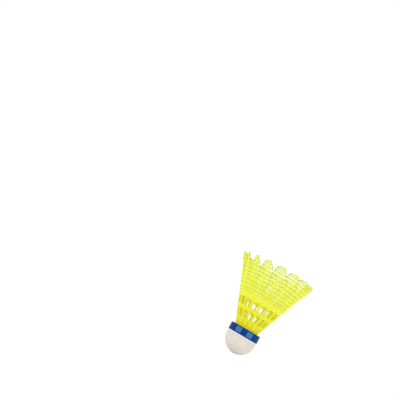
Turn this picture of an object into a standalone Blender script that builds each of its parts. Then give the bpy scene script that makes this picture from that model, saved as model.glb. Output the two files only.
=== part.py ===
"""Badminton shuttlecock with a one-piece moulded nylon skirt on a covered cork base.

The shuttlecock stands nose down on its own axis. The origin is the lowest point of the nose,
+Z runs up the axis to the rim of the skirt, and a petal faces each of +X, +Y, -X and -Y.
"""

import math

import bmesh
import bpy

# Driving dimensions, in metres. Heights are measured up the axis from the nose.
TOTAL_LENGTH = 0.0795
PETAL_COUNT = 16
GAP = 0.0003  # left between neighbouring solids
HINGE_GAP = 0.0005  # left across the root of a petal's free end
MERGE_DISTANCE = 1e-6

CORK_RADIUS = 0.0132  # over the cover
CORK_HEIGHT = 0.0220
NOSE_HEIGHT = 0.0123  # of the dome below the straight side
COVER_THICKNESS = 0.0005
NOSE_STEPS = 8

BAND_RADIUS = 0.0135
BAND_THICKNESS = 0.00045
BAND_BOTTOM = 0.0160

SPIGOT_RADIUS = 0.0080  # plug of the skirt, glued into the cork
SPIGOT_DEPTH = 0.0085
SPIGOT_WALL = 0.0015
SOCKET_CLEARANCE = 0.0010  # under the plug

SKIRT_BOTTOM = CORK_HEIGHT + GAP
ROOT_RADIUS = 0.0098  # middle of the skirt's wall at its foot
RIM_RADIUS = 0.0323  # middle of the wall at the petals' tips
CONE_SLOPE = (RIM_RADIUS - ROOT_RADIUS) / (TOTAL_LENGTH - SKIRT_BOTTOM)
WEB_THICKNESS = 0.0012  # floor of the collar
COLLAR_TOP = 0.0288
CAGE_WALL = 0.0009

LOWER_RING = (0.0358, 0.0388)  # heights of the ring half-way up the stems
THICK_RING = (0.0450, 0.0495)
STEM_WIDTH = 0.0015

# Each vane is set at an angle to the rim, like a feather, with its left edge (clockwise from
# above) inside its neighbour's right edge. It has no angle where it leaves the thick ring.
VANE_PITCH = math.radians(18)  # at the rim
PETAL_OFFSET = math.radians(1.3)  # the stem stands this far right of the petal's middle

VANE_WALL = 0.0007
VANE_TOP = 0.0733
VANE_ROWS = 4
VANE_EDGE = 0.0009  # frame along each side of a vane
VANE_RIB = 0.0014  # rib up its middle
ROW_BAR = 0.0010

TIP_BOTTOM = VANE_TOP + HINGE_GAP
TIP_BAR_TOP = 0.0748
TIP_SHOULDER = 0.0775
# Left and right edges of the free end, from the stem, at the four heights of its outline
TIP_EDGES = {
    TIP_BOTTOM: (-0.0059, 0.0047),
    TIP_BAR_TOP: (-0.0058, 0.0042),
    TIP_SHOULDER: (-0.0054, 0.0027),
    TOTAL_LENGTH: (-0.0048, 0.0015),
}


def material(name, color, roughness, metallic=0.0):
    made = bpy.data.materials.new(name)
    made.use_nodes = True
    shader = made.node_tree.nodes["Principled BSDF"]
    shader.inputs["Base Color"].default_value = (*color, 1)
    shader.inputs["Roughness"].default_value = roughness
    shader.inputs["Metallic"].default_value = metallic
    made.diffuse_color = (*color, 1)
    return made


def place(name, mesh, finish, location=(0, 0, 0), turn=0.0):
    """Puts a mesh in the scene as one named sub-part, turned about Z."""
    part = bpy.data.objects.new(name, mesh)
    if not mesh.materials:
        mesh.materials.append(finish)
    part.location = location
    part.rotation_euler.z = turn
    bpy.context.scene.collection.objects.link(part)
    return part


def finished_mesh(name, work):
    """Closes off a bmesh as a mesh with smooth round faces and its normals pointing out."""
    bmesh.ops.recalc_face_normals(work, faces=work.faces)
    mesh = bpy.data.meshes.new(name)
    work.to_mesh(mesh)
    work.free()
    mesh.shade_smooth()
    mesh.set_sharp_from_angle(angle=math.radians(35))
    return mesh


def turned(name, outline, steps):
    """A body turned about Z from an outline of (radius, height) points.

    An outline that starts on the axis also ends there, and any other is a closed loop.
    """
    work = bmesh.new()
    points = [work.verts.new((radius, 0, height)) for radius, height in outline]
    first = 1 if outline[0][0] == 0 else 0
    edges = [work.edges.new((points[i - 1], points[i])) for i in range(first, len(points))]
    bmesh.ops.spin(
        work,
        geom=points + edges,
        cent=(0, 0, 0),
        axis=(0, 0, 1),
        angle=2 * math.pi,
        steps=steps,
        use_merge=True,
    )
    bmesh.ops.remove_doubles(work, verts=work.verts, dist=MERGE_DISTANCE)
    return finished_mesh(name, work)


def cone_radius(height):
    """Radius of the middle of the skirt's wall."""
    return ROOT_RADIUS + (height - SKIRT_BOTTOM) * CONE_SLOPE


def vane_offset(angle, height):
    """How far the angle of a vane, at its stem's zero, carries it out of the cone."""
    ring_top = THICK_RING[1]
    rise = max(0, (height - ring_top) / (TOTAL_LENGTH - ring_top))
    return math.tan(VANE_PITCH) * rise * angle * cone_radius(height)


def cone_lattice(name, heights, angles_at, open_cells, wall, closed=False):
    """A grid of cells that follows the cone, with the cells in open_cells left out.

    angles_at gives the angles of the grid's upright lines at a height. The cells are counted
    as (row, column). In a closed lattice the last column runs round to the first line, and an
    open one is a vane, set at its angle about the stem at zero.
    """
    work = bmesh.new()
    half_wall = wall * math.hypot(1, CONE_SLOPE) / 2
    skins = []
    for side in (half_wall, -half_wall):
        skin = []
        for height in heights:
            line = []
            for a in angles_at(height):
                radius = cone_radius(height) + side
                if not closed:
                    radius += vane_offset(a, height)
                place_on_cone = (radius * math.cos(a), radius * math.sin(a), height)
                line.append(work.verts.new(place_on_cone))
            skin.append(line)
        skins.append(skin)
    lines = len(skins[0][0])
    columns = lines if closed else lines - 1
    rows = len(heights) - 1

    def filled(row, column):
        if closed:
            column %= columns
        inside = 0 <= row < rows and 0 <= column < columns
        return inside and (row, column) not in open_cells

    def corners(skin, row, column):
        after = (column + 1) % lines
        low, high = skin[row], skin[row + 1]
        return [low[column], low[after], high[after], high[column]]

    for row in range(rows):
        for column in range(columns):
            if not filled(row, column):
                continue
            outer = corners(skins[0], row, column)
            inner = corners(skins[1], row, column)
            work.faces.new(outer)
            work.faces.new(inner[::-1])
            beside = [(row - 1, column), (row, column + 1), (row + 1, column), (row, column - 1)]
            for i, neighbour in enumerate(beside):
                if not filled(*neighbour):
                    j = (i + 1) % 4
                    work.faces.new([outer[j], outer[i], inner[i], inner[j]])
    return finished_mesh(name, work)


def nose_outline(radius, bottom):
    """The quarter of an ellipse from the axis at the nose up to the straight side."""
    points = []
    for step in range(NOSE_STEPS + 1):
        angle = math.pi / 2 * step / NOSE_STEPS
        height = NOSE_HEIGHT - (NOSE_HEIGHT - bottom) * math.cos(angle)
        points.append((radius * math.sin(angle), height))
    points[0] = (0, bottom)
    return points


def cork_core():
    """Natural cork, with a blind socket in its top for the skirt's plug."""
    inset = COVER_THICKNESS + GAP
    waist = BAND_RADIUS - BAND_THICKNESS - GAP - COVER_THICKNESS - GAP
    socket_radius = SPIGOT_RADIUS + GAP
    socket_floor = SKIRT_BOTTOM - SPIGOT_DEPTH - SOCKET_CLEARANCE
    outline = nose_outline(CORK_RADIUS - inset, inset)
    outline += [
        (CORK_RADIUS - inset, BAND_BOTTOM - 3 * GAP),
        (waist, BAND_BOTTOM - 2 * GAP),
        (waist, CORK_HEIGHT),
        (socket_radius, CORK_HEIGHT),
        (socket_radius, socket_floor),
        (0, socket_floor),
    ]
    cork = material("cork", (0.56, 0.38, 0.22), 0.9)
    place("cork_core", turned("cork_core", outline, steps=32), cork)


def leather_cover():
    """Thin white cover moulded over the cork, stepped in where the band wraps it."""
    waist = BAND_RADIUS - BAND_THICKNESS - GAP
    outer = nose_outline(CORK_RADIUS, 0)
    outer += [(CORK_RADIUS, BAND_BOTTOM - GAP), (waist, BAND_BOTTOM - GAP), (waist, CORK_HEIGHT)]
    inner = nose_outline(CORK_RADIUS - COVER_THICKNESS, COVER_THICKNESS)
    inner += [
        (CORK_RADIUS - COVER_THICKNESS, BAND_BOTTOM - 2 * GAP),
        (waist - COVER_THICKNESS, BAND_BOTTOM - GAP),
        (waist - COVER_THICKNESS, CORK_HEIGHT),
    ]
    leather = material("white_leather", (0.80, 0.74, 0.66), 0.45)
    place("leather_cover", turned("leather_cover", outer + inner[::-1], steps=40), leather)


def band():
    """Printed blue band round the top of the cover."""
    inside = BAND_RADIUS - BAND_THICKNESS
    outline = [
        (inside, BAND_BOTTOM),
        (BAND_RADIUS, BAND_BOTTOM),
        (BAND_RADIUS, CORK_HEIGHT + GAP),
        (inside, CORK_HEIGHT + GAP),
    ]
    blue = material("blue_band", (0.01, 0.06, 0.24), 0.35)
    place("band", turned("band", outline, steps=48), blue)


def skirt_collar(nylon):
    """Foot of the skirt: the hollow plug, the web over the cork and the wall under the stems."""
    half_wall = CAGE_WALL * math.hypot(1, CONE_SLOPE) / 2
    web_top = SKIRT_BOTTOM + WEB_THICKNESS
    plug_bottom = SKIRT_BOTTOM - SPIGOT_DEPTH
    bore = SPIGOT_RADIUS - SPIGOT_WALL
    outline = [
        (bore, plug_bottom),
        (SPIGOT_RADIUS, plug_bottom),
        (SPIGOT_RADIUS, SKIRT_BOTTOM),
        (cone_radius(SKIRT_BOTTOM) + half_wall, SKIRT_BOTTOM),
        (cone_radius(COLLAR_TOP) + half_wall, COLLAR_TOP),
        (cone_radius(COLLAR_TOP) - half_wall, COLLAR_TOP),
        (cone_radius(web_top) - half_wall, web_top),
        (bore, web_top),
    ]
    place("skirt_collar", turned("skirt_collar", outline, steps=48), nylon)


def stem_cage(nylon):
    """The foot of each of the stems, tied together by the lower ring."""
    heights = [COLLAR_TOP + GAP, *LOWER_RING, THICK_RING[0] - GAP]
    pitch = 2 * math.pi / PETAL_COUNT
    steps = 4  # upright lines to a pitch: a stem and three cells across each window

    def angles_at(height):
        half_stem = STEM_WIDTH / 2 / cone_radius(height)
        window = pitch - 2 * half_stem
        angles = []
        for petal in range(PETAL_COUNT):
            start = petal * pitch - half_stem
            angles.append(start)
            for step in range(steps - 1):
                angles.append(start + 2 * half_stem + window * step / (steps - 1))
        return angles

    slots = {
        (row, petal * steps + step)
        for row in (0, 2)
        for petal in range(PETAL_COUNT)
        for step in range(1, steps)
    }
    mesh = cone_lattice("stem_cage", heights, angles_at, slots, CAGE_WALL, closed=True)
    place("stem_cage", mesh, nylon)


def thick_ring(nylon):
    """The solid ring between the stems and the vanes."""
    low, high = THICK_RING
    half_wall = CAGE_WALL * math.hypot(1, CONE_SLOPE) / 2
    outline = [
        (cone_radius(low) - half_wall, low),
        (cone_radius(low) + half_wall, low),
        (cone_radius(high) + half_wall, high),
        (cone_radius(high) - half_wall, high),
    ]
    place("thick_ring", turned("thick_ring", outline, steps=64), nylon)


def vanes(nylon):
    """The net of the skirt, one panel for each stem."""
    bottom = THICK_RING[1] + GAP
    row_pitch = (VANE_TOP - ROW_BAR - bottom) / VANE_ROWS
    heights = [bottom, bottom + ROW_BAR]
    for row in range(1, VANE_ROWS + 1):
        heights += [bottom + row * row_pitch, bottom + row * row_pitch + ROW_BAR]

    def angles_at(height):
        radius = cone_radius(height)
        half_pitch = math.pi / PETAL_COUNT - GAP / 2 / cone_radius(bottom)
        left, right = -half_pitch - PETAL_OFFSET, half_pitch - PETAL_OFFSET
        half_rib, frame = VANE_RIB / 2 / radius, VANE_EDGE / radius
        return [left, left + frame, -half_rib, half_rib, right - frame, right]

    windows = {(2 * row + 1, column) for row in range(VANE_ROWS) for column in (1, 3)}
    mesh = cone_lattice("vane", heights, angles_at, windows, VANE_WALL)
    for petal in range(PETAL_COUNT):
        name = f"vane_{petal + 1:02d}"
        place(name, mesh, nylon, turn=petal * 2 * math.pi / PETAL_COUNT)


def petal_tips(nylon):
    """The free ends of the petals. Each bends about the line across its root."""

    def angles_at(height):
        radius = cone_radius(height)
        left, right = (edge / radius for edge in TIP_EDGES[height])
        half_rib, frame = VANE_RIB / 2 / radius, VANE_EDGE / radius
        return [left, left + frame, -half_rib, half_rib, (half_rib + right) / 2, right]

    mesh = cone_lattice("petal_tip", list(TIP_EDGES), angles_at, {(1, 1)}, VANE_WALL)
    hinge_radius = cone_radius(TIP_BOTTOM)
    for vertex in mesh.vertices:
        vertex.co.x -= hinge_radius
        vertex.co.z -= TIP_BOTTOM
    for petal in range(PETAL_COUNT):
        turn = petal * 2 * math.pi / PETAL_COUNT
        hinge = (hinge_radius * math.cos(turn), hinge_radius * math.sin(turn), TIP_BOTTOM)
        place(f"petal_tip_{petal + 1:02d}", mesh, nylon, hinge, turn)


for old in list(bpy.data.objects):
    bpy.data.objects.remove(old)

cork_core()
leather_cover()
band()
yellow_nylon = material("yellow_nylon", (0.80, 0.78, 0.03), 0.4)
skirt_collar(yellow_nylon)
stem_cage(yellow_nylon)
thick_ring(yellow_nylon)
vanes(yellow_nylon)
petal_tips(yellow_nylon)
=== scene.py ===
"""Badminton shuttlecock: a covered cork base, a printed band and a moulded nylon skirt."""

import math

import bmesh
import bpy
from mathutils import Matrix, Vector


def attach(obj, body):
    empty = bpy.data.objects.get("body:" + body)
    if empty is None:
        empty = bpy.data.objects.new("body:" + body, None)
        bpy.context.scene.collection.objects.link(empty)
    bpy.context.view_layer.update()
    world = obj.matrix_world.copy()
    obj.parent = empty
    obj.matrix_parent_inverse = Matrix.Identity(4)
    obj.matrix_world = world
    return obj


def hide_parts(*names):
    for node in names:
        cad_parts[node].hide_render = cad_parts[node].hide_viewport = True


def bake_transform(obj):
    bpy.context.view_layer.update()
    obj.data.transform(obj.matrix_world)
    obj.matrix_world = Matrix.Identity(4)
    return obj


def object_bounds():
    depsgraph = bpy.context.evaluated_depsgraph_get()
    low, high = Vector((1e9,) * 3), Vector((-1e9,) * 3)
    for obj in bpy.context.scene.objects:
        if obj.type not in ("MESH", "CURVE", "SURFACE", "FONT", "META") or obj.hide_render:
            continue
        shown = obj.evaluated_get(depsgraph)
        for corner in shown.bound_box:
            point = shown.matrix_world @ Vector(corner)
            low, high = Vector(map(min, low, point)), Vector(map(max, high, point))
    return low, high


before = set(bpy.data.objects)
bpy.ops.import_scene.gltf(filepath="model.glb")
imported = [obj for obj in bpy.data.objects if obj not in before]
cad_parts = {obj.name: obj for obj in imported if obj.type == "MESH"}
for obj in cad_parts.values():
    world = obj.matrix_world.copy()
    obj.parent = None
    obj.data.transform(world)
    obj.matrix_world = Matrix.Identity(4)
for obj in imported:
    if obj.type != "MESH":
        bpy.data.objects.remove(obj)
cad_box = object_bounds()


# ---- Cork core ------------------------------------------------------------------------------
# A dome turned from agglomerated cork: granules pressed together with a binder. A blind socket
# is bored in its flat top, and the plug of the skirt is glued into that.


class Socket:
    """One socket of a shader's nodes. Sums and products of sockets add the Math nodes."""

    def __init__(self, tree, link):
        self.tree = tree
        self.link = link

    def node(self, kind, settings=None, output=0, **inputs):
        """Any other node: its settings first, then its sockets by name, or by _number."""
        made = self.tree.nodes.new(kind)
        for setting, value in (settings or {}).items():
            setattr(made, setting, value)
        for name, value in inputs.items():
            socket = made.inputs[int(name[1:]) if name[0] == "_" else name.replace("_", " ")]
            if isinstance(value, Socket):
                self.tree.links.new(value.link, socket)
            else:
                socket.default_value = value
        return Socket(self.tree, made.outputs[output])

    def math(self, operation, first, second=0.0):
        return self.node("ShaderNodeMath", {"operation": operation}, _0=first, _1=second)

    def __add__(self, other):
        return self.math("ADD", self, other)

    __radd__ = __add__

    def __sub__(self, other):
        return self.math("SUBTRACT", self, other)

    def __rsub__(self, other):
        return self.math("SUBTRACT", other, self)

    def __mul__(self, other):
        return self.math("MULTIPLY", self, other)

    __rmul__ = __mul__

    def __truediv__(self, other):
        return self.math("DIVIDE", self, other)

    def between(self, low, high):
        """0 below low and 1 above high, with a smooth rise from one to the other."""
        settings = {"interpolation_type": "SMOOTHSTEP"}
        return self.node("ShaderNodeMapRange", settings, Value=self, From_Min=low, From_Max=high)

    def blend(self, color, other):
        """color where this is 0, and other where it is 1."""
        color = color if isinstance(color, Socket) else (*color, 1)
        other = other if isinstance(other, Socket) else (*other, 1)
        settings = {"data_type": "RGBA"}
        return self.node("ShaderNodeMix", settings, 2, _0=self, _6=color, _7=other)

    def speckle(self, scale, detail=2.0, roughness=0.5):
        """Soft noise from 0 to 1, with this many spots to a metre."""
        noise = {"Scale": scale, "Detail": detail, "Roughness": roughness}
        return self.node("ShaderNodeTexNoise", None, 0, Vector=self, **noise)

    def granules(self, scale, feature="F1", output="Distance"):
        """Rounded cells, with this many to a metre."""
        settings = {"feature": feature}
        return self.node("ShaderNodeTexVoronoi", settings, output, Vector=self, Scale=scale)

    def bump(self, strength, distance):
        """A Normal from this height."""
        return self.node("ShaderNodeBump", None, Strength=strength, Distance=distance, Height=self)


def new_finish(name):
    """A material, and its place on the object as a socket to start its patterns from."""
    made = bpy.data.materials.new(name)
    made.use_nodes = True
    place = Socket(made.node_tree, None).node("ShaderNodeTexCoord", output="Object")
    return made, place


def finish_with(made, **inputs):
    """Sets the material's Principled shader, with links for what changes over the surface."""
    shader = made.node_tree.nodes["Principled BSDF"]
    for name, value in inputs.items():
        socket = shader.inputs[name.replace("_", " ")]
        if isinstance(value, Socket):
            made.node_tree.links.new(value.link, socket)
        else:
            socket.default_value = value
    return shader


def make_piece(name, work, finishes, sharp=40):
    """Turns a bmesh into a named piece with smooth round faces, and frees it."""
    mesh = bpy.data.meshes.new(name)
    work.to_mesh(mesh)
    work.free()
    mesh.shade_smooth()
    mesh.set_sharp_from_angle(angle=math.radians(sharp))
    for finish in finishes:
        mesh.materials.append(finish)
    piece = bpy.data.objects.new(name, mesh)
    bpy.context.scene.collection.objects.link(piece)
    return piece


def turn(work, outline, steps):
    """Adds a body turned about Z from points (radius, height), counter-clockwise as seen with
    the radius to the right. One that starts on the axis also ends there.
    """
    on_axis = outline[0][0] == 0
    rings = []
    for radius, height in outline:
        if radius == 0:
            rings.append([work.verts.new((0, 0, height))] * steps)
            continue
        ring = []
        for step in range(steps):
            angle = 2 * math.pi * step / steps
            ring.append(work.verts.new((radius * math.cos(angle), radius * math.sin(angle), height)))
        rings.append(ring)
    pairs = list(zip(rings, rings[1:]))
    if not on_axis:
        pairs.append((rings[-1], rings[0]))
    for low, high in pairs:
        for step in range(steps):
            after = (step + 1) % steps
            corners = [low[step], low[after], high[after], high[step]]
            work.faces.new(dict.fromkeys(corners))


def dome(radius, bottom, top, steps):
    """Points up a quarter of an ellipse from the axis."""
    points = [(0, bottom)]
    for step in range(1, steps + 1):
        angle = math.pi / 2 * step / steps
        points.append((radius * math.sin(angle), top - (top - bottom) * math.cos(angle)))
    return points


def rounded(points, radius, steps=4):
    """A path with each of its inner corners rounded off."""
    points = [Vector(p) for p in points]
    path = [points[0]]
    for before, corner, after in zip(points, points[1:], points[2:]):
        back = min(radius, (before - corner).length / 2)
        ahead = min(radius, (after - corner).length / 2)
        start = corner + (before - corner).normalized() * back
        end = corner + (after - corner).normalized() * ahead
        for step in range(steps + 1):
            t = step / steps
            path.append(start * (1 - t) ** 2 + corner * 2 * t * (1 - t) + end * t ** 2)
    path.append(points[-1])
    return path


CORK_RADIUS = 0.0132
CORK_TOP = 0.0220
DOME_TOP = 0.0123
COVER_THICKNESS = 0.0005
SOCKET_RADIUS = 0.0083
SOCKET_FLOOR = 0.0128
WAIST_RADIUS = 0.01275  # of the cover where the band wraps it
BAND_BOTTOM = 0.0160
FIT_GAP = 0.0003
CORK_CORNER = 0.0003

core_radius = CORK_RADIUS - COVER_THICKNESS - FIT_GAP
core_waist = WAIST_RADIUS - COVER_THICKNESS - FIT_GAP
core_outline = dome(core_radius, COVER_THICKNESS + FIT_GAP, DOME_TOP, steps=16)
core_outline += rounded(
    [
        (core_radius, BAND_BOTTOM - 0.0010, 0),
        (core_waist, BAND_BOTTOM - 0.0004, 0),
        (core_waist, CORK_TOP, 0),
        (SOCKET_RADIUS, CORK_TOP, 0),
        (SOCKET_RADIUS, SOCKET_FLOOR, 0),
    ],
    radius=CORK_CORNER,
)
core_outline = [(point[0], point[1]) for point in core_outline] + [(0, SOCKET_FLOOR)]

core_work = bmesh.new()
turn(core_work, core_outline, steps=72)

cork, place = new_finish("pressed_cork")
granule = place.granules(900, output="Color")
granule_tone = granule.node("ShaderNodeSeparateColor", output="Red", Color=granule)
bark_fleck = place.speckle(1400, detail=3).between(0.62, 0.70)
seam = place.granules(900, feature="DISTANCE_TO_EDGE").between(0.0, 0.09)
cork_color = granule_tone.blend((0.46, 0.28, 0.14), (0.66, 0.45, 0.25))
cork_color = bark_fleck.blend(cork_color, (0.12, 0.06, 0.03))
cork_color = seam.blend((0.25, 0.14, 0.07), cork_color)
cork_height = seam * 0.6 + place.speckle(4000) * 0.4
finish_with(
    cork,
    Base_Color=cork_color,
    Roughness=0.75 + 0.2 * granule_tone,
    Normal=cork_height.bump(0.5, 0.0002),
)
cork_core = make_piece("pressed_cork_core", core_work, [cork])
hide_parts("cork_core")
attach(cork_core, "shuttlecock")


# ---- Cover ----------------------------------------------------------------------------------
# White synthetic leather half a millimetre thick, moulded hot over the cork so that the nose
# has no seam. Its top is turned in under the band, with a narrow bead left just below it.


def height_of(place):
    return place.node("ShaderNodeSeparateXYZ", output="Z", Vector=place)


BEAD_RADIUS = 0.01335
BEAD_BOTTOM = 0.0150
BEAD_STEPS = 8

cover_outline = dome(CORK_RADIUS, 0, DOME_TOP, steps=28)
cover_outline += [(CORK_RADIUS, DOME_TOP + 0.0014), (CORK_RADIUS, BEAD_BOTTOM)]
for step in range(BEAD_STEPS + 1):
    angle = math.pi * step / BEAD_STEPS
    bulge = (BEAD_RADIUS - CORK_RADIUS) * math.sin(angle)
    height = BEAD_BOTTOM + (BAND_BOTTOM - FIT_GAP - BEAD_BOTTOM) * (1 - math.cos(angle)) / 2
    cover_outline.append((CORK_RADIUS + bulge, height))
cover_outline += [
    (WAIST_RADIUS, BAND_BOTTOM - FIT_GAP / 2),
    (WAIST_RADIUS, CORK_TOP),
    (WAIST_RADIUS - COVER_THICKNESS, CORK_TOP),
    (WAIST_RADIUS - COVER_THICKNESS, BAND_BOTTOM - FIT_GAP),
    (CORK_RADIUS - COVER_THICKNESS, BAND_BOTTOM - 0.0009),
]
inner_dome = dome(CORK_RADIUS - COVER_THICKNESS, COVER_THICKNESS, DOME_TOP, steps=28)
cover_outline += inner_dome[::-1]

cover_work = bmesh.new()
turn(cover_work, cover_outline, steps=128)

leather, place = new_finish("white_leather_cover")
up_cover = height_of(place)
cloud = place.speckle(140, detail=3)
pore = place.granules(2600, feature="SMOOTH_F1")
crease = place.speckle(1100, detail=4, roughness=0.65)
leather_color = cloud.between(0.35, 0.7).blend((0.665, 0.620, 0.578), (0.705, 0.660, 0.615))
# Painted shade: the cover is painted darker and warmer towards the tip of the nose.
leather_color = up_cover.between(0.011, 0.001).blend(leather_color, (0.640, 0.580, 0.510))
leather_color = (crease.between(0.62, 0.78) * 0.25).blend(leather_color, (0.58, 0.53, 0.47))
# The bead and the cover above it are painted paler and bluish: partly a paler edge, partly a painted
# highlight on the bead.
leather_color = up_cover.between(0.0148, 0.0152).blend(leather_color, (0.74, 0.79, 0.87))
finish_with(
    leather,
    Base_Color=leather_color,
    Roughness=0.42 + 0.16 * crease,
    Normal=(pore * 0.7 + crease * 0.3).bump(0.25, 0.00012),
    Specular_IOR_Level=0.12,
)
cover = make_piece("white_leather_cover", cover_work, [leather])
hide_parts("leather_cover")
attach(cover, "shuttlecock")


# ---- Band -----------------------------------------------------------------------------------
# A strip of coated paper glued round the top of the cover to hide its edge. It is printed navy
# with paler blocks, and its end laps over its start at the back.


def angle_of(place):
    """Angle round the axis, from -pi to pi."""
    x = place.node("ShaderNodeSeparateXYZ", output="X", Vector=place)
    y = place.node("ShaderNodeSeparateXYZ", output="Y", Vector=place)
    return place.math("ARCTAN2", y, x)


BAND_RADIUS = 0.0135
BAND_THICKNESS = 0.00045
BAND_TOP = 0.0223
BAND_STEPS = 160
LAP_ANGLE = math.radians(78)  # where the strip ends, on the far side
LAP_THICKNESS = 0.00006
BAND_MIDDLE = math.radians(-96.5)  # a dark block is centred here
CUT_ROUNDING = 0.00012

band_work = bmesh.new()
inside = BAND_RADIUS - BAND_THICKNESS
band_outline = [
    (inside, BAND_BOTTOM),
    (BAND_RADIUS - CUT_ROUNDING, BAND_BOTTOM),
    (BAND_RADIUS, BAND_BOTTOM + CUT_ROUNDING),
    (BAND_RADIUS, (BAND_BOTTOM + BAND_TOP) / 2),
    (BAND_RADIUS, BAND_TOP - CUT_ROUNDING),
    (BAND_RADIUS - CUT_ROUNDING, BAND_TOP),
    (inside, BAND_TOP),
]
turn(band_work, band_outline, BAND_STEPS)
for vertex in band_work.verts:  # the strip climbs on to its own start over a quarter turn
    radius = vertex.co.xy.length
    if radius > inside + CUT_ROUNDING:
        behind = (LAP_ANGLE - math.atan2(vertex.co.y, vertex.co.x)) % (2 * math.pi)
        climb = LAP_THICKNESS * max(0, 1 - behind / (math.pi / 2))
        vertex.co.xy *= (radius + climb) / radius

print_blue, place = new_finish("printed_blue_band")
up_band = height_of(place)
around = angle_of(place) - BAND_MIDDLE
block = around.math("COSINE", around * 8, 0)
inset = up_band.between(0.0168, 0.0170) * (1 - up_band.between(0.0213, 0.0215))
group = around.math("COSINE", around * 3, 0).between(-0.40, -0.30)  # three pairs of blocks
pale = (1 - block.between(-0.10, 0.10)) * inset * group
hairline = around.math("SINE", around * 96, 0).between(0.55, 0.95) * inset
fibre = place.speckle(2200, detail=4)
ink = fibre.blend((0.0, 0.036, 0.158), (0.0, 0.046, 0.200))
ink = (hairline * 0.35).blend(ink, (0.01, 0.08, 0.30))
ink = pale.blend(ink, fibre.blend((0.052, 0.143, 0.365), (0.068, 0.168, 0.410)))
finish_with(
    print_blue,
    Base_Color=ink,
    Roughness=0.30 + 0.15 * fibre,
    Normal=(fibre * 0.3 + pale * 0.7).bump(0.15, 0.00004),
    Specular_IOR_Level=0.05,
)
band = make_piece("printed_band", band_work, [print_blue])
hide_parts("band")
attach(band, "shuttlecock")


# ---- Skirt base -----------------------------------------------------------------------------
# The lower part of the nylon moulding: a hollow plug and a web that sit on the cork, a collar
# with a rib for each stem, two rows of open windows, and the ring that the net springs from.

PETALS = 16
PITCH = 2 * math.pi / PETALS
SKIRT_BOTTOM = 0.0223
SKIRT_TOP = 0.0795
ROOT_RADIUS = 0.0098
RIM_RADIUS = 0.0323
CONE_SLOPE = (RIM_RADIUS - ROOT_RADIUS) / (SKIRT_TOP - SKIRT_BOTTOM)
RING_TOP = 0.0495
NOTCH = 0.0738  # height of the notches between the petals
FEATHER_PITCH = math.radians(18)  # of each petal to the rim, at its tip
END_TWIST = 0.40  # extra slope across the free end of a petal, at its top
STEM_LEAN = math.radians(1.5)  # of each stem to its right, between the ring and its notch


def cone_radius(height):
    return ROOT_RADIUS + (height - SKIRT_BOTTOM) * CONE_SLOPE


def on_skirt(petal, across, height, lift=0.0):
    """A point on the skirt, at an angle across from that petal's stem, lifted off the wall.

    Above the ring each petal turns out of the cone like a feather, its right edge outermost.
    """
    turned_out = max(0, (height - RING_TOP) / (SKIRT_TOP - RING_TOP))
    lean = STEM_LEAN * min(1, max(0, (height - RING_TOP) / (NOTCH - RING_TOP)) - 1)
    radius = cone_radius(height) + lift * math.hypot(1, CONE_SLOPE)
    slope = math.tan(FEATHER_PITCH) * turned_out
    slope += END_TWIST * max(0, (height - NOTCH) / (SKIRT_TOP - NOTCH))
    radius += slope * across * cone_radius(height)
    angle = petal * PITCH + across + lean
    return Vector((radius * math.cos(angle), radius * math.sin(angle), height))


COLLAR_TOP = 0.0284  # below here the wall is the floor of the flutes
PLAIN, EDGE_SHADE, FLUTE_SHADE = range(3)  # places of the nylon finishes on a piece
WINDOW_ROUNDING = ((1.14, 1.0), (1.05, 0.82), (1.0, 0.0))  # (size, share of the half thickness)


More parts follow.
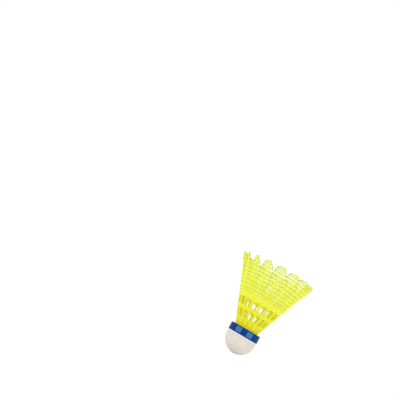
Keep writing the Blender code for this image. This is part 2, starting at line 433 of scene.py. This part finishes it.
def windowed_wall(work, bands, wall, inset_at, columns):
    """Adds a closed wall round the cone, from bands (bottom, top, window).

    A window is (bottom, top, share of the pitch that it spans, how square its corners are).
    wall gives the thickness at a height, and inset_at how far the wall lies inside the cone.
    Each band is cut into a cell for each petal, with its edges in this many columns.
    """
    made = {}
    around_cell = 4 * columns

    def shared_point(key, petal, across, height, depth):
        """The point at this share of the half thickness, made once for each key."""
        if key not in made:
            lift = depth * wall(height) / 2 - inset_at(height)
            made[key] = work.verts.new(on_skirt(petal, across, height, lift))
        return made[key]

    def wall_point(petal, across, height, side):
        key = (side, round((petal * PITCH + across) % (2 * math.pi), 5), round(height, 7))
        return shared_point(key, petal, across, height, side)

    def edge_place(low, high, step):
        """Goes round a cell from its bottom left corner, counter-clockwise."""
        side, part = divmod(step, columns)
        part /= columns
        across, up = [(part, 0), (1, part), (1 - part, 1), (0, 1 - part)][side]
        return across * PITCH, low + (high - low) * up

    def solid_cell(petal, low, high, edge, side):
        grid = [edge[: columns + 1]]
        right, left = edge[columns : 2 * columns + 1], edge[3 * columns :] + [edge[0]]
        for row in range(1, columns):
            line = [left[columns - row]]
            for column in range(1, columns):
                across, _ = edge_place(low, high, column)
                _, height = edge_place(low, high, columns + row)
                line.append(wall_point(petal, across, height, side))
            grid.append(line + [right[row]])
        grid.append(edge[2 * columns : 3 * columns + 1][::-1])
        for lower, upper in zip(grid, grid[1:]):
            for i in range(columns):
                quad = [lower[i], lower[i + 1], upper[i + 1], upper[i]]
                face = work.faces.new(quad[::side])
                # The collar's wall between the ribs takes the flute finish: painted shade.
                face.material_index = FLUTE_SHADE if high <= COLLAR_TOP else PLAIN

    def window_cell(petal, window, edge, side):
        bottom, top, share, square = window
        loops = [edge]
        for size, depth in WINDOW_ROUNDING:
            loop = []
            for step in range(around_cell):
                angle = 2 * math.pi * step / around_cell - 3 * math.pi / 4
                x, y = math.cos(angle), math.sin(angle)
                x = math.copysign(abs(x) ** (2 / square), x)
                y = math.copysign(abs(y) ** (2 / square), y)
                height = (bottom + top) / 2 + y * size * (top - bottom) / 2
                across = PITCH / 2 + x * size * share * PITCH / 2
                key = ("window", petal, bottom, step, side * depth)
                loop.append(shared_point(key, petal, across, height, side * depth))
            loops.append(loop)
        for outer, inner in zip(loops, loops[1:]):
            for step in range(around_cell):
                after = (step + 1) % around_cell
                quad = [outer[step], outer[after], inner[after], inner[step]]
                work.faces.new(quad[::side])

    for low, high, window in bands:
        for petal in range(PETALS):
            for side in (1, -1):
                places = [edge_place(low, high, step) for step in range(around_cell)]
                edge = [wall_point(petal, across, height, side) for across, height in places]
                if window:
                    window_cell(petal, window, edge, side)
                else:
                    solid_cell(petal, low, high, edge, side)


def strand(work, path, width, depth, sides=6, finish=PLAIN, inner_finish=None):
    """Adds a closed rod of oval section along points (place, outward), which may taper.

    width and depth are numbers, or a function of how far along the path a point lies. The
    half of it that faces the axis may have a finish of its own.
    """
    places = [p for p, _ in path]
    rings = []
    for i, (point, outward) in enumerate(path):
        ahead = places[min(i + 1, len(path) - 1)] - places[max(i - 1, 0)]
        along = i / (len(path) - 1)
        half_width = (width(along) if callable(width) else width) / 2
        half_depth = (depth(along) if callable(depth) else depth) / 2
        aside = ahead.cross(outward).normalized()
        up = aside.cross(ahead).normalized()
        ring = []
        for step in range(sides):
            angle = 2 * math.pi * (step + 0.5) / sides
            offset = aside * half_width * math.cos(angle) + up * half_depth * math.sin(angle)
            ring.append(work.verts.new(point + offset))
        rings.append(ring)
    for low, high in zip(rings, rings[1:]):
        for step in range(sides):
            after = (step + 1) % sides
            face = work.faces.new([low[step], high[step], high[after], low[after]])
            inner = inner_finish is not None and step >= sides // 2
            face.material_index = inner_finish if inner else finish
    for cap in (rings[0], rings[-1][::-1]):
        work.faces.new(cap).material_index = finish


def skirt_path(petal, points, lift=0.0):
    """Places on a petal for (across, height) points, each with the way out of its surface."""
    step = 0.0002
    path = []
    for across, height in points:
        here = on_skirt(petal, across, height, lift)
        right = on_skirt(petal, across + step / cone_radius(height), height, lift) - here
        up = on_skirt(petal, across, height + step, lift) - here
        path.append((here, right.cross(up).normalized()))
    return path


def nylon_finish(name, low_color, high_color, clear, painted_glow):
    """Fluorescent nylon that lets light through: deep yellow low down, and paler in the net."""
    made, place = new_finish(name)
    up = height_of(place)
    flow = place.speckle(260, detail=3)
    fine = place.speckle(1800, detail=2)
    color = up.between(0.036, 0.062).blend(low_color, high_color)
    # Painted light: the nylon is painted brighter towards the foot of the skirt, down to the band,
    # against the shade that the band and cork cast there.
    color = up.between(0.032, 0.024).blend(color, tuple(c * 1.16 for c in low_color))
    color = (flow.between(0.35, 0.75) * 0.22).blend(color, tuple(c * 0.86 for c in high_color))
    # The emission is painted light: a faint glow of the nylon's own colour that stands in for its
    # fluorescence under the lamps.
    shader = finish_with(
        made,
        Base_Color=color,
        Roughness=0.26 + 0.14 * flow,
        Normal=(flow * 0.6 + fine * 0.4).bump(0.12, 0.0001),
        IOR=1.53,
        Emission_Color=color,
        Emission_Strength=painted_glow,
    )
    behind = place.node("ShaderNodeBsdfTranslucent", Color=(*high_color, 1))
    surface = Socket(made.node_tree, shader.outputs[0])
    mixed = place.node("ShaderNodeMixShader", Fac=clear, _1=surface, _2=behind)
    output = made.node_tree.nodes["Material Output"]
    made.node_tree.links.new(mixed.link, output.inputs["Surface"])
    return made


# The flute finish is a darker, less clear copy of the nylon with less glow: painted shade on the
# floors of the flutes between the ribs.
flute_shade_color = (0.78, 0.72, 0.003)
nylon = nylon_finish("yellow_nylon", (0.825, 0.785, 0.003), (0.88, 0.915, 0.13), 0.40, 0.13)
# The edge finish lets less light through and is darker and more olive in the net: on the thick
# borders and main bars partly their denser colour, partly painted shade, and on the half of each rib
# that faces the axis painted shade.
nylon_edge_shade = nylon_finish("yellow_nylon_edge_shade", (0.86, 0.815, 0.003), (0.65, 0.71, 0.07), 0.30, 0.13)
nylon_flute_shade = nylon_finish("yellow_nylon_flute_shade", flute_shade_color, flute_shade_color, 0.30, 0.06)

LOWER_RING_BOTTOM, LOWER_RING_TOP = 0.0365, 0.0381
LOWER_RING_MIDDLE = (LOWER_RING_BOTTOM + LOWER_RING_TOP) / 2
LOWER_RING_SWELL = 0.0005
THICK_RING_BOTTOM, THICK_RING_ROW = 0.0457, 0.0473
THICK_RING_MIDDLE = 0.04725
THICK_RING_SWELL = 0.0006
COLLAR_ROW = 0.0254
BASE_WALL = 0.0008
FLUTE_DEPTH = 0.0006
FLUTE_RUN = 0.0060  # height over which the flutes fade out
RIB_BOTTOM, RIB_TOP = 0.0226, 0.0497
RIB_STEPS = 18
RIB_WIDTH, RIB_DEPTH = 0.0031, 0.0030
STEM_WIDTH = 0.0011
RIB_LIFT = -0.0009  # most of a rib's depth is on the inside of the wall
LOWER_WINDOW = (0.0295, 0.0357, 0.66, 3.2)
UPPER_WINDOW = (0.0389, 0.0449, 0.75, 5.0)


def base_wall(height):
    """Thickness of the wall, which swells at the two rings."""
    swell = LOWER_RING_SWELL * math.exp(-(((height - LOWER_RING_MIDDLE) / 0.0012) ** 2))
    swell += THICK_RING_SWELL * math.exp(-(((height - THICK_RING_MIDDLE) / 0.0022) ** 4))
    return BASE_WALL + swell


def collar_inset(height):
    """The collar's wall lies inside its ribs, so that flutes run down to the band."""
    return FLUTE_DEPTH * min(1, max(0, (LOWER_RING_BOTTOM - height) / FLUTE_RUN))


def rib_width(part):
    """A rib is broad over the collar, and narrows to a plain stem up the lower windows."""
    narrowing = min(1, max(0, (part - 0.16) / 0.24))
    return RIB_WIDTH - (RIB_WIDTH - STEM_WIDTH) * narrowing ** 2 * (3 - 2 * narrowing)


base_work = bmesh.new()
base_bands = [
    (SKIRT_BOTTOM, COLLAR_ROW, None),
    (COLLAR_ROW, COLLAR_TOP, None),
    (COLLAR_TOP, LOWER_RING_BOTTOM, LOWER_WINDOW),
    (LOWER_RING_BOTTOM, LOWER_RING_TOP, None),
    (LOWER_RING_TOP, THICK_RING_BOTTOM, UPPER_WINDOW),
    (THICK_RING_BOTTOM, THICK_RING_ROW, None),
    (THICK_RING_ROW, RING_TOP, None),
]
windowed_wall(base_work, base_bands, base_wall, collar_inset, columns=6)
open_edges = [edge for edge in base_work.edges if len(edge.link_faces) == 1]
for at_foot in (True, False):
    ends = [edge for edge in open_edges if (edge.verts[0].co.z < COLLAR_TOP) == at_foot]
    bmesh.ops.bridge_loops(base_work, edges=ends)

for petal in range(PETALS):
    heights = [RIB_BOTTOM + (RIB_TOP - RIB_BOTTOM) * i / RIB_STEPS for i in range(RIB_STEPS + 1)]
    path = skirt_path(petal, [(0, h) for h in heights], lift=RIB_LIFT)
    # The half of each rib that faces the axis takes the edge finish: painted shade.
    strand(base_work, path, rib_width, RIB_DEPTH, sides=8, inner_finish=EDGE_SHADE)

PLUG_RADIUS = 0.0080
PLUG_WALL = 0.0015
PLUG_BOTTOM = 0.0138
WEB_TOP = 0.0235
plug_outline = [
    (PLUG_RADIUS - PLUG_WALL, PLUG_BOTTOM),
    (PLUG_RADIUS, PLUG_BOTTOM),
    (PLUG_RADIUS, SKIRT_BOTTOM),
    (ROOT_RADIUS, SKIRT_BOTTOM),
    (ROOT_RADIUS + 0.0002, WEB_TOP),
    (PLUG_RADIUS - PLUG_WALL, WEB_TOP),
]
turn(base_work, plug_outline, steps=64)
bmesh.ops.recalc_face_normals(base_work, faces=base_work.faces)
base_finishes = [nylon, nylon_edge_shade, nylon_flute_shade]
base = make_piece("skirt_base", base_work, base_finishes, sharp=50)
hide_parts("skirt_collar", "stem_cage", "thick_ring")
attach(base, "shuttlecock")


# ---- Net ------------------------------------------------------------------------------------
# The feathered part of the moulding, a fine net of strands. Each petal has a stem with cross
# bars that rise from it like barbs, thin uprights between them and a border down either side.

NET_TOP = 0.0736  # where the free ends of the petals take over
NET_ROWS = 8
BARB_SLOPE = math.tan(math.radians(9.5))
LEFT_AT_RING, LEFT_AT_NOTCH = math.radians(-12.2), math.radians(-11.4)
RIGHT_AT_RING, RIGHT_AT_NOTCH = math.radians(9.5), math.radians(8.7)
UPRIGHTS = 5  # threads on either side of the stem
UPRIGHT = (0.00040, 0.0005)  # each strand's width and depth
CROSS_BAR = (0.00085, 0.0007)
FINE_BAR = (0.00045, 0.0004)
BORDER = (0.00080, 0.0006)
STEM = (0.0013, 0.0011)
STEM_END = 0.0010  # width of the stem where the free end takes over
STEM_LIFT = 0.0002
NET_OVERLAP = 0.0006  # of the net on the ring
OPEN_CELLS = 0.0640  # above here the cells along the right border have no threads


def share_up(height, low, high):
    return min(1, max(0, (height - low) / (high - low)))


def left_border(height):
    return LEFT_AT_RING + (LEFT_AT_NOTCH - LEFT_AT_RING) * share_up(height, RING_TOP, NOTCH)


def right_border(height):
    return RIGHT_AT_RING + (RIGHT_AT_NOTCH - RIGHT_AT_RING) * share_up(height, RING_TOP, NOTCH)


def barb_height(across, height):
    """Height of a cross bar that leaves the stem at height."""
    rise = BARB_SLOPE * share_up(height, RING_TOP, NOTCH)
    return height + max(0, -across) * cone_radius(height) * rise


def threads(border):
    """Pairs of a border and the part of the way to it, for each thread on that side."""
    return [(border, i / (UPRIGHTS + 1)) for i in range(1, UPRIGHTS + 1)]


net_work = bmesh.new()
net_foot = RING_TOP - NET_OVERLAP
net_heights = [net_foot + (NET_TOP - net_foot) * i / 10 for i in range(11)]
for petal in range(PETALS):
    for border in (left_border, right_border):
        path = skirt_path(petal, [(border(h), h) for h in net_heights])
        strand(net_work, path, lambda t: BORDER[0] * (0.6 + 0.4 * t), BORDER[1])
    for border, part in threads(left_border) + threads(right_border):
        heights = net_heights
        if border is right_border and part > 0.7:
            heights = [h for h in heights if h < OPEN_CELLS]
        path = skirt_path(petal, [(border(h) * part, h) for h in heights])
        strand(net_work, path, *UPRIGHT)
    path = skirt_path(petal, [(0, h) for h in net_heights], lift=STEM_LIFT)
    strand(net_work, path, lambda t: STEM[0] + (STEM_END - STEM[0]) * t, STEM[1], sides=8)
    for half_row in range(1, 2 * NET_ROWS):
        height = RING_TOP + (NOTCH - RING_TOP) * half_row / (2 * NET_ROWS)
        left, right = left_border(height), right_border(height)
        points = []
        for i in range(9):
            across = left + (right - left) * i / 8
            points.append((across, barb_height(across, height)))
        path = skirt_path(petal, points)
        if half_row % 2:
            strand(net_work, path, *FINE_BAR)
            continue
        here, outward = path[-1]  # a main bar goes on to the next petal's left border
        there, outward_there = skirt_path(petal + 1, [(left, barb_height(left, height))])[0]
        for t in (1 / 3, 2 / 3, 1):
            path.append((here.lerp(there, t), outward.lerp(outward_there, t)))
        # A main bar takes the edge finish: partly its denser colour, partly painted shade.
        strand(net_work, path, *CROSS_BAR, finish=EDGE_SHADE)

net = make_piece("skirt_net", net_work, [nylon, nylon_edge_shade])
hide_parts(*[f"vane_{petal + 1:02d}" for petal in range(PETALS)])
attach(net, "shuttlecock")


# ---- Free ends of the petals ----------------------------------------------------------------
# Above the notches each petal is free, with a flat top, a steep left side and a long slope on its
# right.

TIP_START = 0.0733
TOP_LEFT, TOP_RIGHT = math.radians(-8.9), math.radians(2.2)
BEND_START, BEND_END = 0.0730, 0.0752
TIP_ROW = 0.0766
TIP_BAR_DEPTH = 0.0005
OUTLINE_DEPTH = 0.0007
TIP_CORNER = 0.0012
STEM_THINNING = 0.0004


def tip_left(height):
    return LEFT_AT_NOTCH + (TOP_LEFT - LEFT_AT_NOTCH) * share_up(height, NOTCH, SKIRT_TOP)


def tip_right(height):
    return RIGHT_AT_NOTCH + (TOP_RIGHT - RIGHT_AT_NOTCH) * share_up(height, NOTCH, SKIRT_TOP)


for petal in range(PETALS):
    tip_work = bmesh.new()
    top = SKIRT_TOP - BORDER[0] / 2
    outline = rounded(
        [
            (LEFT_AT_NOTCH * cone_radius(NOTCH), TIP_START, 0),
            (TOP_LEFT * cone_radius(top), top - 0.0004, 0),
            (TOP_RIGHT * cone_radius(top), top, 0),
            (RIGHT_AT_NOTCH * cone_radius(NOTCH), NOTCH, 0),
            (RIGHT_AT_NOTCH * cone_radius(NOTCH), TIP_START, 0),
        ],
        radius=TIP_CORNER,
    )
    path = skirt_path(petal, [(x / cone_radius(h), h) for x, h, _ in outline])
    strand(tip_work, path, BORDER[0], OUTLINE_DEPTH, finish=EDGE_SHADE)

    heights = [TIP_START + (top - TIP_START) * i / 4 for i in range(5)]
    path = skirt_path(petal, [(0, h) for h in heights], lift=STEM_LIFT)
    strand(tip_work, path, STEM_END, lambda t: STEM[1] - STEM_THINNING * t, sides=8)
    for border, part in threads(LEFT_AT_NOTCH) + threads(RIGHT_AT_NOTCH):
        across = border * part
        end = top
        if across > TOP_RIGHT:
            end -= (top - NOTCH) * (across - TOP_RIGHT) / (RIGHT_AT_NOTCH - TOP_RIGHT)
        if across < TOP_LEFT:
            end -= (top - NOTCH) * (across - TOP_LEFT) / (LEFT_AT_NOTCH - TOP_LEFT)
        heights = [TIP_START + (end - TIP_START) * i / 3 for i in range(4)]
        strand(tip_work, skirt_path(petal, [(across, h) for h in heights]), *UPRIGHT)
    fine_rows = [(NOTCH + TIP_ROW) / 2, (TIP_ROW + top) / 2]
    for height in (NOTCH, TIP_ROW, *fine_rows):
        left, right = tip_left(height), tip_right(height)
        points = []
        for i in range(7):
            across = left + (right - left) * i / 6
            points.append((across, barb_height(across, height)))
        path = skirt_path(petal, points)
        if height in fine_rows:
            strand(tip_work, path, FINE_BAR[0], TIP_BAR_DEPTH)
        else:
            strand(tip_work, path, CROSS_BAR[0], TIP_BAR_DEPTH, finish=EDGE_SHADE)

    name = f"petal_end_{petal + 1:02d}"
    tip = make_piece(name, tip_work, [nylon, nylon_edge_shade])
    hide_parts(f"petal_tip_{petal + 1:02d}")
    start, end = on_skirt(petal, 0, BEND_START), on_skirt(petal, 0, BEND_END)
    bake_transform(tip)


# ---- Studio ---------------------------------------------------------------------------------
# A white floor with no edge in view, soft lamps all round and the camera.

floor_work = bmesh.new()
bmesh.ops.create_grid(floor_work, x_segments=1, y_segments=1, size=3)
floor_mesh = bpy.data.meshes.new("floor")
floor_work.to_mesh(floor_mesh)
floor_work.free()
floor_paint, place = new_finish("white_floor")
finish_with(
    floor_paint,
    Base_Color=(0.80, 0.80, 0.80, 1),
    Roughness=0.9,
    Specular_IOR_Level=0.0,
    Emission_Color=(1, 1, 1, 1),
    Emission_Strength=0.35,
)
floor_mesh.materials.append(floor_paint)
floor = bpy.data.objects.new("floor", floor_mesh)
floor.location.z = cad_box[0][2] - 0.0002
bpy.context.scene.collection.objects.link(floor)

world = bpy.data.worlds.new("studio")
world.use_nodes = True
world.node_tree.nodes["Background"].inputs["Color"].default_value = (1, 1, 1, 1)
world.node_tree.nodes["Background"].inputs["Strength"].default_value = 1.0
bpy.context.scene.world = world
bpy.context.scene.view_settings.view_transform = "Standard"


def soft_lamp(name, location, size, power):
    """A square lamp that points at the middle of the shuttlecock."""
    light = bpy.data.lights.new(name, "AREA")
    light.size = size
    light.energy = power
    lamp = bpy.data.objects.new(name, light)
    lamp.location = location
    toward = Vector((0, 0, 0.04)) - lamp.location
    lamp.rotation_euler = toward.to_track_quat("-Z", "Y").to_euler()
    bpy.context.scene.collection.objects.link(lamp)


soft_lamp("key_lamp", (-0.45, -0.55, 0.75), 0.5, 0.8)
soft_lamp("fill_lamp", (0.7, -0.3, 0.4), 0.6, 0.3)
soft_lamp("back_lamp", (0.2, 0.8, 0.6), 0.6, 0.5)

lens = bpy.data.cameras.new("camera")
lens.lens = 54.0
lens.sensor_width = 36
lens.clip_start = 0.01
camera = bpy.data.objects.new("camera", lens)
forward = Vector((-0.0702, 0.9837, 0.1653)).normalized()
upward = Vector((-0.4942, -0.1783, 0.8509))
right = forward.cross(upward).normalized()
upward = right.cross(forward)
facing = Matrix((right, upward, -forward)).transposed().to_4x4()
camera.matrix_world = Matrix.Translation((-0.0520, -0.5166, 0.0120)) @ facing
bpy.context.scene.collection.objects.link(camera)
bpy.context.scene.camera = camera
